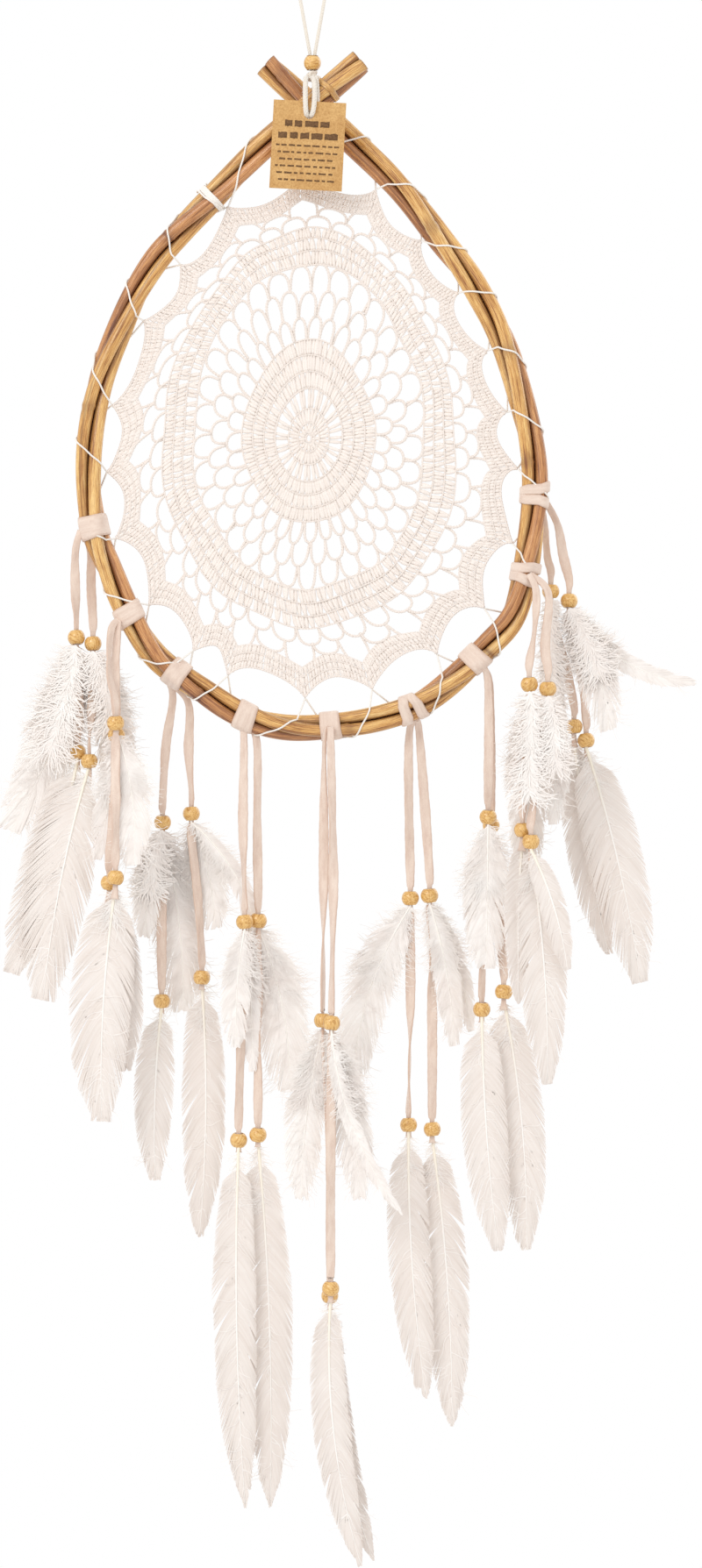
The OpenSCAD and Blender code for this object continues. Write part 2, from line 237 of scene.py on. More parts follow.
class Finish:
    """A Principled material whose colour and bump come from procedural nodes."""

    def __init__(self, name, roughness, sheen=0.0, specular=0.5, coat=0.0):
        self.material = bpy.data.materials.new(name)
        self.material.use_nodes = True
        self.tree = self.material.node_tree
        self.shader = self.tree.nodes["Principled BSDF"]
        for key, value in (("Roughness", roughness), ("Sheen Weight", sheen),
                           ("Specular IOR Level", specular), ("Coat Weight", coat),
                           ("Subsurface Weight", 0.0)):
            self.shader.inputs[key].default_value = value

    def put(self, socket, value):
        if isinstance(value, bpy.types.NodeSocket):
            self.tree.links.new(value, socket)
        else:
            socket.default_value = value

    def node(self, kind, **inputs):
        made = self.tree.nodes.new(kind)
        for key, value in inputs.items():
            self.put(made.inputs[key], value)
        return made

    def attribute(self, name):
        made = self.tree.nodes.new("ShaderNodeAttribute")
        made.attribute_name = name
        return made

    def grain(self, stretch=(1, 1, 1)):
        made = self.node("ShaderNodeMapping", Vector=self.attribute("grain").outputs["Vector"])
        made.inputs["Scale"].default_value = stretch
        return made.outputs["Vector"]

    def noise(self, vector, scale, detail=4.0, roughness=0.6):
        return self.node("ShaderNodeTexNoise", Vector=vector, Scale=scale, Detail=detail,
                         Roughness=roughness).outputs["Fac"]

    def ramp(self, value, *stops):
        """A colour from a value: each stop is a place and its red, green and blue out of 255."""
        made = self.node("ShaderNodeValToRGB", Fac=value)
        elements = made.color_ramp.elements
        while len(elements) < len(stops):
            elements.new(0.5)
        for element, (place, colour) in zip(elements, stops):
            element.position = place
            element.color = srgb(*colour)
        return made.outputs["Color"]

    def mix(self, share, a, b, blend="MIX"):
        made = self.tree.nodes.new("ShaderNodeMix")
        made.data_type, made.blend_type = "RGBA", blend
        # The node has sockets for each data type: 0 is the share, 6 and 7 are the two colours
        for index, value in ((0, share), (6, a), (7, b)):
            self.put(made.inputs[index], value)
        colour_out = 2
        return made.outputs[colour_out]

    def stained(self, colour, share, value, *stops):
        """The colour multiplied by a ramp of a second value."""
        return self.mix(share, colour, self.ramp(value, *stops), "MULTIPLY")

    def toned(self, colour, dark):
        """The colour taken towards another by the tone at each point of the mesh."""
        return self.mix(self.attribute("tone").outputs["Fac"], colour, srgb(*dark))

    def math(self, operation, a, b):
        made = self.tree.nodes.new("ShaderNodeMath")
        made.operation = operation
        self.put(made.inputs[0], a)
        self.put(made.inputs[1], b)
        return made.outputs[0]

    def finish(self, colour, height=None, strength=0.5, distance=0.0002):
        self.tree.links.new(colour, self.shader.inputs["Base Color"])
        if height is not None:
            bump = self.node("ShaderNodeBump", Height=height, Strength=strength, Distance=distance)
            self.tree.links.new(bump.outputs["Normal"], self.shader.inputs["Normal"])
        return self.material


def cane_material(name, light, middle, dark):
    """Split-skinned cane: long fibres, blotches, and painted shade where canes press together."""
    f = Finish(name, 0.36, coat=0.3)
    fibres = f.noise(f.grain((1.6, 1.6, 0.035)), 1.3, 6, 0.65)
    blotch = f.noise(f.grain((0.25, 0.25, 0.02)), 1.0, 3)
    both = f.math("ADD", f.math("MULTIPLY", fibres, 0.62), f.math("MULTIPLY", blotch, 0.38))
    colour = f.ramp(both, (0.39, dark), (0.49, middle), (0.6, light))
    fine = f.noise(f.grain((6, 6, 0.12)), 1.6, 3)
    colour = f.stained(colour, 0.7, fine, (0.4, (170, 116, 72)), (0.56, WHITE))
    # The tone takes the colour towards dark brown: painted shade between the canes, and darker
    # grooves, nodes and ends.
    return f.finish(f.toned(colour, (98, 50, 26)), fibres, 0.5, 0.0003)


def cotton_material(name, light, shade, scale=1.0, sheen=0.25):
    """Spun cotton with fine fibres; the tone paints shade into the gaps between stitches."""
    f = Finish(name, 0.9, sheen=sheen, specular=0.2)
    fibres = f.noise(f.grain((5 * scale, 5 * scale, 1.4 * scale)), 1.0, 5, 0.7)
    colour = f.ramp(fibres, (0.3, shade), (0.56, light))
    return f.finish(f.toned(colour, shade), fibres, 0.7, 0.00025)


def suede_material():
    f = Finish("suede", 0.95, sheen=0.35, specular=0.15)
    nap = f.noise(f.grain((7, 7, 3.5)), 1.0, 5, 0.75)
    cloud = f.noise(f.grain((0.35, 0.35, 0.09)), 1.0, 3)
    colour = f.ramp(cloud, (0.32, (226, 204, 190)), (0.62, (240, 223, 210)))
    colour = f.stained(colour, 0.5, nap, (0.3, (205, 186, 172)), (0.6, (255, 253, 250)))
    return f.finish(f.toned(colour, (206, 172, 150)), nap, 0.6, 0.0002)


def bead_material():
    f = Finish("bead_wood", 0.3, coat=0.45)
    rings = f.noise(f.grain((0.9, 0.9, 0.16)), 1.2, 4, 0.55)
    colour = f.ramp(rings, (0.32, (190, 136, 66)), (0.48, (224, 176, 100)),
                    (0.66, (240, 202, 134)))
    pores = f.noise(f.grain((6, 6, 0.8)), 1.0, 3)
    colour = f.stained(colour, 0.5, pores, (0.33, (176, 120, 62)), (0.46, WHITE))
    # The tone takes the colour towards dark brown: painted shade towards the bore.
    return f.finish(f.toned(colour, (96, 52, 22)), pores, 0.35, 0.00012)


def feather_material():
    f = Finish("feather", 0.72, sheen=0.2, specular=0.25)
    soft = f.noise(f.grain((0.05, 0.05, 0.05)), 1.0, 3)
    colour = f.ramp(soft, (0.3, (246, 239, 234)), (0.65, (251, 247, 243)))
    colour = f.toned(colour, (227, 215, 206))
    fine = f.noise(f.grain((2.5, 2.5, 2.5)), 1.0, 2)
    return f.finish(colour, fine, 0.2, 0.0001)


def quill_material():
    f = Finish("quill", 0.4, specular=0.45)
    along = f.noise(f.grain((2, 2, 0.1)), 1.0, 3)
    colour = f.ramp(along, (0.35, (242, 228, 198)), (0.65, (250, 242, 224)))
    return f.finish(f.toned(colour, (250, 246, 241)), along, 0.2, 0.0001)


def card_material():
    """Kraft card: fibres and specks."""
    f = Finish("kraft_card", 0.85, specular=0.2)
    place = f.node("ShaderNodeTexCoord").outputs["Object"]
    fibres = f.noise(place, 900.0, 6, 0.7)
    cloud = f.noise(place, 90.0, 3)
    colour = f.ramp(cloud, (0.3, (204, 160, 104)), (0.7, (222, 182, 124)))
    colour = f.stained(colour, 0.6, fibres, (0.3, (190, 160, 125)), (0.6, (255, 252, 246)))
    specks = f.noise(place, 2600.0, 1)
    colour = f.stained(colour, 0.5, specks, (0.28, (130, 95, 60)), (0.36, WHITE))
    return f.finish(colour, fibres, 0.3, 0.0001)


def ink_material():
    f = Finish("ink", 0.8, specular=0.2)
    worn = f.noise(f.node("ShaderNodeTexCoord").outputs["Object"], 1500.0, 3)
    return f.finish(f.ramp(worn, (0.35, (92, 66, 44)), (0.7, (132, 98, 66))), worn, 0.1)


def floor_material():
    f = Finish("pale_floor", 0.8, specular=0.2)
    soft = f.noise(f.node("ShaderNodeTexCoord").outputs["Object"], 3.0, 2)
    return f.finish(f.ramp(soft, (0.3, (238, 238, 238)), (0.7, (244, 244, 244))))


CANES = [
    cane_material("cane_gold", (252, 214, 140), (226, 172, 94), (148, 90, 44)),
    cane_material("cane_rose", (232, 178, 118), (200, 140, 84), (126, 74, 42)),
    cane_material("cane_pale", (254, 220, 150), (232, 182, 104), (158, 100, 50)),
]
SPLIT = cane_material("split_cane", (246, 214, 150), (226, 178, 104), (170, 118, 62))
WEB = cotton_material("web_cotton", (250, 242, 235), (230, 216, 206))
THREAD = cotton_material("lacing_thread", (252, 249, 244), (228, 218, 206), 1.5)
CORD = cotton_material("cord_cotton", (250, 246, 238), (224, 213, 198), 0.9, 0.35)
SUEDE, BEAD, VANE, QUILL = suede_material(), bead_material(), feather_material(), quill_material()
CARD, INK, FLOOR = card_material(), ink_material(), floor_material()


# -------- camera, light and floor

def studio():
    scene = bpy.context.scene
    view_centre, view_height, lens, sensor = (0.022, -0.477), 0.894, 100.0, 36.0
    data = bpy.data.cameras.new("camera")
    data.lens, data.sensor_width = lens, sensor
    camera = bpy.data.objects.new("camera", data)
    scene.collection.objects.link(camera)
    camera.location = (view_centre[0], -view_height * lens / sensor, view_centre[1])
    camera.rotation_euler = (math.radians(90), 0, 0)
    scene.camera = camera

    world = bpy.data.worlds.new("studio")
    scene.world = world
    world.use_nodes = True
    world.node_tree.nodes["Background"].inputs["Color"].default_value = (1, 1, 1, 1)
    world.node_tree.nodes["Background"].inputs["Strength"].default_value = 1.0
    scene.view_settings.view_transform = "Standard"

    for name, place, size, power in (
        ("key", (-1.1, -1.7, 0.7), 0.9, 13),
        ("rim", (1.3, 0.9, 0.3), 1.2, 6),
    ):
        light = bpy.data.lights.new(name, "AREA")
        light.energy, light.size = power, size
        lamp = bpy.data.objects.new(name, light)
        scene.collection.objects.link(lamp)
        lamp.location = place
        aim = Vector((0, 0, -0.45)) - Vector(place)
        lamp.rotation_euler = aim.to_track_quat("-Z", "Y").to_euler()

    floor_z, floor_r, rim = -1.6, 3.4, 64
    floor = Shape()
    disc = np.concatenate([circle(rim) * floor_r, np.full((rim, 1), floor_z)], axis=1) / MM
    floor.add(disc, np.zeros((0, 4), int), [list(range(rim))])
    ground = bpy.data.objects.new("floor", floor.mesh("floor"))
    scene.collection.objects.link(ground)
    ground.data.materials.append(FLOOR)


studio()

# -------- the part's own figures

CANE_R = 3.7
TWIST_TURNS = 3.5
CANE_OFFSET = 2 * CANE_R / math.sqrt(3) + 0.08
BUNDLE_R = CANE_OFFSET + CANE_R
HOOP_STEPS = 5
HOOP_POINTS = [
    [28, -8.8, -67], [0, -8.8, -90], [-24, -6.5, -111], [-52, -2.5, -139], [-74, -0.5, -160],
    [-90, 0, -180], [-107, 0, -212], [-122, 0, -250], [-127, 0, -289], [-124, 0, -331],
    [-116, 0, -355], [-104, 0, -380], [-87, 0, -406], [-62, 0, -425], [-38, 0, -438],
    [-10, 0, -445], [24, 0, -443], [56, 0, -433], [80, 0, -418], [101, 0, -398],
    [115, 0, -378], [124, 0, -342], [127, 0, -305], [121, 0, -268], [109, 0, -224],
    [94, 0, -196], [76, 0.5, -171], [50, 2.5, -136], [18, 7, -106], [0, 8.8, -90],
    [-26, 8.8, -65],
]
WEB_CENTRE = np.array([-2.0, -280.0])
WEB_TIPS = np.array([
    [-6, -130], [36, -138], [62, -167], [83, -197], [100, -230], [111, -265], [118, -297],
    [114, -340], [98, -377], [71, -403], [34, -423], [-4, -428], [-48, -415], [-68, -401],
    [-93, -375], [-112, -337], [-117, -299], [-114, -261], [-96, -213], [-75, -181],
    [-48, -148],
], float)
TOP_TIE = [14, -108]
THREAD_START = [-56, -143]
HITCHES = [
    [-124, -333], [-105, -379], [-75, -415], [-36, -439], [8, -446], [57, -433], [94, -405],
    [121, -357], [127, -316],
]
LOOP_LEFT = [
    [-1.25, 0, -70], [-1.25, 0, -66], [-1.4, 0, -61], [-2.6, 0, -54], [-4.2, 0, -45],
    [-5.8, 0, -36], [-7.4, 0, -27], [-9, 0, -18], [-10.2, 0, -11], [-10.4, 0, -6],
    [-8.8, 0, -2], [-5.4, 0, 0.4],
]
LOOP_ROUTE = LOOP_LEFT + [[0, 0, 1.2]] + [[-x, y, z] for x, y, z in LOOP_LEFT[::-1]]
LASHING_ROUTE = [
    [2.2, 0, -78.2], [2.2, -5, -77.2], [2.2, -9, -76], [2.4, -13.6, -76.6],
    [2.8, -17.2, -79.6], [3.2, -18.6, -86], [3.2, -18.6, -95], [3.2, -16.8, -101],
    [3.2, -10, -105], [3.2, 0, -105.8], [3.2, 10, -105], [3.2, 16.8, -101], [3.2, 18.6, -95],
    [3.2, 18.6, -86], [3, 16.4, -79.6], [2.6, 9, -78.4], [2.3, 0.4, -78.2],
]
TAG_HOLE = np.array([-1.5, -20.6, -98.5])
TAG_LEAN = math.radians(3)
TAG_CORD_ROUTE = [
    [0, -3.9, -75.4], [0, -8, -76.2], [0, -14, -76.9], [0, -19, -79], [0, -21.4, -83],
    [0, -22.2, -89], [0, -22.3, -94], [0, -21.9, -97.4], [0, -20.6, -98.5], [0, -18.6, -98.5],
]
# The two tails of each lace: start, bend, upper bead, bend, lower bead and cut end
TAILS = [
    [[[-135, -1, -345], [-135, -0.5, -368], [-134.5, 0, -393.5], [-133, 1, -428],
      [-134, 2.6, -459], [-134.5, 2.6, -470]],
     [[-127, 9.8, -345], [-126.5, 7.5, -365], [-125, 0, -397], [-125.5, -0.5, -432],
      [-127, -2.6, -464], [-128, -2.6, -478]]],
    [[[-114, -12.8, -390], [-115, -16, -412], [-111, -20.5, -442.5], [-111, -22.5, -487],
      [-111, -23.6, -530], [-111.5, -23.6, -542]],
     [[-110.5, -10.7, -392], [-112, -11.5, -415], [-111, -13, -449.2], [-112.5, -14, -490],
      [-115, -14.8, -533], [-115.5, -14.8, -545]]],
    [[[-80, 10.7, -429], [-84, 13, -455], [-86, 14.6, -499], [-86.5, 14.6, -550],
      [-86.5, 14.6, -601.5], [-86.5, 14.6, -609]],
     [[-71, 11.5, -431], [-71, 13.5, -458], [-69.5, 14.6, -494], [-66, 14.6, -540],
      [-63.5, 14.6, -588], [-63.5, 14.6, -595]]],
    [[[-39, -1.5, -451], [-39.5, -2.6, -500], [-38.5, -3.4, -555.5], [-40.5, -2.6, -618],
      [-42, 0, -680], [-42, 0, -687]],
     [[-32, 1.5, -451], [-31.5, 2.6, -500], [-31, 3.4, -555], [-31, 2.6, -616],
      [-31, 0, -677], [-31, 0, -684]]],
    [[[7, -10.9, -452], [6.5, -13, -530], [6, -14.6, -611], [8.5, -14.8, -690],
      [10, -14.6, -767], [10, -14.6, -775]],
     [[10.5, -14.2, -452], [12, -20, -530], [11, -23.4, -612], [10.5, -23.4, -690],
      [10.5, -23.4, -762], [10.5, -23.4, -770]]],
    [[[55.5, 10.8, -447], [55, 13, -480], [56, 14.6, -542.5], [56, 14.6, -608],
      [55, 14.6, -672.5], [55, 14.6, -680]],
     [[61, 12.8, -447], [64, 14, -485], [67, 14.6, -541], [68.5, 14.6, -608],
      [68.5, 14.6, -675], [68.5, 14.6, -683]]],
    [[[100, -2, -420], [100.5, -3.5, -455], [100, -4.2, -495.8], [98, -2.4, -550],
      [96.5, 0, -605.5], [96.5, 0, -613]],
     [[101, 2, -420], [101.5, 3.5, -455], [102, 4.4, -500.6], [106, 2.4, -550],
      [109, 0, -595.5], [109, 0, -606]]],
    [[[127, -11.5, -368], [126, -13, -390], [123, -14.6, -420.5], [121, -16.5, -462],
      [119, -18.4, -503], [118.5, -18.4, -515]],
     [[134, -11.5, -369], [132, -13, -398], [133.5, -14.6, -423], [129, -20, -465],
      [123.5, -24.6, -509.5], [124.5, -24.6, -523]]],
    [[[133, 11.5, -331], [134.5, 12.5, -347], [136.5, 14.6, -366.5], [144, 17, -405],
      [150, 19, -444], [150.5, 19, -456]],
     [[140, 11, -328], [143.5, 12.5, -346], [147, 14.6, -372], [153, 17, -412],
      [157, 19, -452], [157.5, 19, -464]]],
]
# Each feather: quill's end, tip, width of its vane and bow of its shaft
UPPER_FEATHERS = [
    [[[-134.5, 2.8, -398], [-173, 8, -504], 36, -6],
     [[-125, 0.8, -401.5], [-110, 5.2, -482], 26, -4]],
    [[[-110, -17.5, -449], [-101, -19.2, -523], 26, -4],
     [[-113, -11.5, -454], [-122, -11.2, -520], 16, -2]],
    [[[-86, 16.2, -503.5], [-74, 21.8, -608], 34, -3],
     [[-69.5, 16.2, -499], [-56, 18.6, -560], 24, -3],
     [[-69.5, 12.8, -499], [-30, 11.2, -581], 12, -10],
     [[-86, 12.8, -503.5], [-96, 11.2, -565], 20, 2]],
    [[[-31, 5.4, -559.5], [-13, 7.2, -652], 34, -5], [[-38.5, -5.6, -560], [-43, -6, -627], 18, 2],
     [[-36, 0, -562], [-34, 0, -641], 14, 0]],
    [[[6, -13, -616], [-6, -11.4, -713], 24, 3], [[11, -21.5, -617], [27, -19.4, -712], 24, -3],
     [[11, -25.4, -617], [51, -27, -720], 10, 8]],
    [[[56, 13, -547], [23, 11.8, -648], 30, 7], [[67, 13, -545.5], [81, 11.8, -627], 18, -3],
     [[67, 16.4, -545.5], [91, 18, -619], 14, -4]],
    [[[100, -6.2, -500.5], [99, -6.6, -582], 28, 0], [[102, 6.2, -505], [97, 6.8, -575], 24, 2]],
    [[[123, -12.8, -425], [122, -11.6, -529], 26, 0],
     [[133.5, -14, -427.5], [137, -14.2, -500], 18, -2]],
    [[[147, 13, -376.5], [170, 11.6, -446], 26, -4], [[147, 16, -376.5], [220, 17.5, -419], 13, 10],
     [[136.5, 12.8, -371], [146, 11.6, -482], 14, 3]],
]
LOWER_FEATHERS = [
    [[[-134, -0.4, -464], [-171, -4.6, -585], 34, -4],
     [[-127.5, -3.4, -469], [-153, -7.4, -600], 40, 3]],
    [[[-111, -21.6, -535], [-119, -19.5, -668], 38, 3],
     [[-115, -13, -538], [-106, -11.8, -640], 26, -3]],
    [[[-86.5, 12.8, -606], [-90, 12, -704], 24, 2],
     [[-63.5, 16.4, -592.5], [-65, 17.4, -737], 26, -3]],
    [[[-42, -1.9, -684.5], [-38, -3, -890], 26, 3], [[-31, 1.9, -681.5], [-24, 3, -890], 30, -3]],
    [[[10.5, -21.6, -767], [28, -20.5, -920], 22, 7],
     [[10, -13.8, -772], [35, -12.4, -918], 20, 7]],
    [[[55, 12.8, -677], [65, 11.8, -829], 26, 3], [[68.5, 16.4, -679.5], [80, 17.6, -846], 28, -3]],
    [[[96.5, -1.9, -610], [106, -3.2, -743], 28, 2], [[109, 1.9, -600], [122, 3.2, -743], 30, -4]],
    [[[123.5, -22.6, -514], [133, -19.4, -647], 28, -3],
     [[123.5, -26.6, -514], [144, -27.5, -582], 16, -3],
     [[119, -16.4, -507.5], [117, -15.4, -602], 16, 1]],
    [[[157, 17.2, -456.5], [188, 16, -591], 34, -3], [[150, 20.9, -448.5], [170, 22, -575], 24, 2]],
]

HOOP_LINE = smooth(HOOP_POINTS, HOOP_STEPS)
HOOP_T = headings(HOOP_LINE)
HOOP_OUT = unit(np.cross([0, 1, 0], HOOP_T))
HOOP_FRONT = np.cross(HOOP_T, HOOP_OUT)


def nearest(q):
    return int(np.argmin(np.linalg.norm(HOOP_LINE[:, [0, 2]] - np.array(q), axis=1)))


def inside_hoop(q):
    p = HOOP_LINE[nearest(q)][[0, 2]]
    gap = BUNDLE_R + 1.5
    return q if np.linalg.norm(q - p) > gap else p + unit(q - p) * gap


TIPS = np.array([inside_hoop(q) for q in WEB_TIPS])
TIES = [nearest(TOP_TIE if k == 0 else TIPS[k]) for k in range(len(TIPS))]


def hoop_at(u):
    """Place, outward and front directions, and the canes' twist, at part indices of the line."""
    twist = TURN * TWIST_TURNS * u / (len(HOOP_LINE) - 1)
    return at(HOOP_LINE, u), at(HOOP_OUT, u), at(HOOP_FRONT, u), twist


def wrapped(u, angle, gap):
    """Points of a band pulled tight round the three canes, where it faces each angle."""
    line, out, front, twist = hoop_at(u)
    phases = twist[..., None] + np.array([0, TURN / 3, 2 * TURN / 3])
    leads = np.cos(phases - angle[..., None])
    best = np.take_along_axis(phases, leads.argmax(-1)[..., None], -1)[..., 0]
    reach = CANE_R + np.broadcast_to(gap, angle.shape)[..., None]
    return line + turned(out, front, best) * CANE_OFFSET + turned(out, front, angle) * reach


def taut(u, angle, gap):
    """Points of a thread pulled tight round the canes, at each angle seen from their middle."""
    line, out, front, twist = hoop_at(u)
    third = TURN / 3
    off = np.abs((angle - twist + third / 2) % third - third / 2)
    reach = CANE_R + gap
    leaves = math.atan2(reach * math.sin(third / 2), CANE_OFFSET + reach / 2)
    aside = CANE_OFFSET * np.sin(off)
    on_cane = CANE_OFFSET * np.cos(off) + np.sqrt(np.maximum(reach ** 2 - aside ** 2, 0))
    between = (CANE_OFFSET / 2 + reach) / np.cos(third / 2 - off)
    r = np.where(off < leaves, on_cane, between)[:, None]
    return line + turned(out, front, angle) * r


# -------- cords first: loop and laces

LACE_W, LACE_T = 5.8, 1.25
PINCHED = 1.45
BEAD_H = 7.8
BEAD_R, BEAD_BORE = 5.0, 2.05


def hanging_loop():
    route = resample(smooth(LOOP_ROUTE, 8), 0.55)
    shape = Shape()
    plied(shape, route, 1.08, plies=3, pitch=4.6)
    loop = make("loop_cord", shape, CORD, "hanger", ["hanging_loop"])


def ribbon_outline(sides=14, corner=0.35):
    """A flat lace's rounded section, one unit half wide and half thick."""
    c, s = circle(sides).T
    return np.stack([np.sign(c) * abs(c) ** corner, np.sign(s) * abs(s) ** (corner * 1.3)], axis=1)


def tail_route(k, side):
    """A tail from under its band to its cut end, with the half width of each station."""
    tail = np.array(TAILS[k][side], float)
    half = LACE_W / 2
    up = np.array([0, 0, BEAD_H / 2 + 1.6])
    i = nearest(HITCHES[k])
    way = tail[0] - HOOP_LINE[i]
    angle = np.arctan2(way @ HOOP_FRONT[i], way @ HOOP_OUT[i])
    start = wrapped(np.array([float(i)]), np.array([angle]), 0.55)[0]
    stations = [
        (start, half * 0.62), (tail[0], half * 0.72), (tail[1], half),
        (tail[2] + up * 2.2, half * 0.86), (tail[2] + up, PINCHED),
        (tail[2] - up, PINCHED), (tail[2] - up * 2.4, half * 0.9),
        (tail[3], half),
        (tail[4] + up * 2.2, half * 0.86), (tail[4] + up, PINCHED),
        (tail[4] - up, PINCHED), (tail[5], half * 0.8),
    ]
    rows = np.array([[*p, w] for p, w in stations])
    apart = np.linalg.norm(np.diff(rows[:, :3], axis=0), axis=1) > 0.4
    return resample(smooth(rows[np.concatenate([[True], apart])], 10), 1.1)


def bead(shape, centre, rng, height=BEAD_H, bore=BEAD_BORE):
    """A turned bead: round outside, flat ends rounded into the bore."""
    size = BEAD_R * rng.uniform(0.97, 1.0)
    half = height / 2
    top = math.asin(half / size)
    a = np.linspace(-top, top, 22)
    out = [(size * math.cos(x), size * math.sin(x)) for x in a]
    edge = [(bore + 0.75, half + 0.02), (bore + 0.3, half - 0.12), (bore, half - 0.6)]
    profile = out + edge + [(r, -z) for r, z in reversed(edge)]
    radii = np.array([r for r, _ in profile])
    heights = np.array([z for _, z in profile])
    sides = 40
    wobble = 1 + 0.012 * np.sin(TURN * np.arange(sides) / sides * 2 + rng.uniform(0, 6))
    ring = radii[:, None, None] * circle(sides)[None] * wobble[None, :, None]
    points = np.concatenate([ring, np.repeat(heights[:, None, None], sides, 1)], axis=2)
    tilt, lean = rng.uniform(-0.12, 0.12, 2)
    turn = np.array([[1, 0, tilt], [0, 1, lean], [-tilt, -lean, 1]])
    points = points.reshape(-1, 3) @ turn.T
    axis = unit(rng.uniform(-1, 1, 3))
    aside = unit(np.cross(axis, [0.3, 0.9, 0.1]))
    basis = np.stack([aside, np.cross(axis, aside), axis])
    grain = points @ basis.T + rng.uniform(0, 60, 3)
    # Painted shade: the bead darkens towards its bore.
    bore_shade = np.clip((bore + 0.9 - radii) / 0.9, 0, 1) * 0.75
    shape.add(points + centre, ring_quads(len(profile), sides), (), grain,
              np.repeat(bore_shade, sides))


def lace_tail(k, side):
    rng = np.random.default_rng(100 + 2 * k + side)
    rows = tail_route(k, side)
    route, half = rows[:, :3], rows[:, 3]
    run = lengths(route)
    u, v = transported(route)
    share = run / run[-1]
    swing = sum(rng.uniform(0.35, 0.85) / (m + 1) ** 0.5
                * np.sin(TURN * (m + 1) * share + rng.uniform(0, 6)) for m in range(3))
    side_way = turned(u, v, swing * np.clip(share * 6, 0, 1))
    face_way = np.cross(headings(route), side_way)
    ragged = 1 + 0.03 * np.sin(run * 0.37 + rng.uniform(0, 6)) + 0.02 * np.sin(run * 1.3)
    outline = ribbon_outline()
    thick = np.where(half < 2.2, 0.85, LACE_T / 2)
    edges = np.tile(np.abs(outline[:, 0]) ** 8 * 0.55, len(route))
    shape = Shape()
    sweep(shape, route, side_way, face_way, outline, half * ragged, thick, edges)
    name = f"lace_{k + 1}_{'ab'[side]}"
    body = f"streamer_{k + 1}"
    lace = make(name, shape, SUEDE, body, [f"lace_{k + 1}"])
    beads = Shape()
    for station in (2, 4):
        bead(beads, np.array(TAILS[k][side][station], float), rng)
    strung = make(f"beads_{k + 1}_{'ab'[side]}", beads, BEAD, body, [f"beads_{k + 1}"])


hanging_loop()
for k in range(len(TAILS)):
    for side in (0, 1):
        lace_tail(k, side)


# -------- hoop

# Places of the nodes of the canes, across and up
CANE_NODES = [[-76, -168], [66, -163], [123, -295], [-62, -423], [20, -446], [-21, -75.5],
              [-123, -262], [98, -402], [112, -232]]


def bump(away, middle, width):
    return np.exp(-((away - middle) / width) ** 2)


def cane_grooves(run, sides, rng):
    """The darkness of five lengthwise grooves that come and go."""
    grooves = np.zeros((len(run), sides))
    for _ in range(5):
        start, drift, phase = rng.uniform(0, 6.28), rng.uniform(-0.004, 0.004), rng.uniform(0, 6.28)
        place = start + drift * run + 0.25 * np.sin(run / 60 + phase)
        away = np.abs((around(sides)[None] - place[:, None] + math.pi) % TURN - math.pi)
        shown = np.clip(np.sin(run / rng.uniform(28, 60) + phase) + 0.25, 0, 1)
        grooves = np.maximum(grooves, 0.62 * shown[:, None] * bump(away, 0, 0.17))
    return grooves


def cane(index):
    line = smooth(HOOP_POINTS, 16)
    count = len(line)
    t = headings(line)
    out = unit(np.cross([0, 1, 0], t))
    front = np.cross(t, out)
    phase = TURN * index / 3
    a = phase + TURN * TWIST_TURNS * np.arange(count) / (count - 1)
    centre = line + CANE_OFFSET * turned(out, front, a)
    run = lengths(centre)
    rng = np.random.default_rng(7 + index)
    radius = CANE_R * (1 + 0.012 * np.sin(run / 21 + rng.uniform(0, 6)) + 0.008 * np.sin(run / 6.3))
    dark_ring = np.zeros(count)
    for x, z in CANE_NODES:
        i = int(np.argmin(np.linalg.norm(line[:, [0, 2]] - [x, z], axis=1)))
        fronts = [math.sin(a[i] - phase + TURN * j / 3) for j in range(3)]
        if int(np.argmin(np.array(fronts) * front[i][1])) == index:
            away = run - run[i]
            radius += 0.32 * bump(away, 0, 1.1) - 0.16 * bump(away, 2.2, 0.8)
            dark_ring = np.maximum(dark_ring, 0.85 * bump(away, 1.6, 0.7))
            dark_ring = np.maximum(dark_ring, 0.4 * bump(away, 1, 4.5))
    sides = 36
    ring = circle(sides)
    inward = -(np.cos(a)[:, None] * ring[None, :, 0] + np.sin(a)[:, None] * ring[None, :, 1])
    # Painted shade: each cane darkens on the side that turns in towards the other two, where they
    # press together. The real grooves, dark nodes and cut ends are joined to it.
    shade_between_canes = np.clip((inward + 0.15) / 0.9, 0, 1) ** 1.5
    marks_and_shade = np.maximum(np.maximum(shade_between_canes, cane_grooves(run, sides, rng)), dark_ring[:, None])
    ends = np.minimum(run, run[-1] - run)
    marks_and_shade = np.maximum(marks_and_shade, (0.45 * np.exp(-ends / 1.2))[:, None])
    skin = ring[None] * CANE_R + np.array([31.0 * index, 17.0 * index])
    grain = np.concatenate([np.broadcast_to(skin, (count, sides, 2)),
                            np.broadcast_to(run[:, None, None], (count, sides, 1))], axis=2)
    shape = Shape()
    sweep(shape, centre, out, front, ring, radius, radius, marks_and_shade.reshape(-1), grain)
    node = f"cane_{'abc'[index]}"
    make(f"{node}_skin", shape, CANES[index], "hoop", [node])


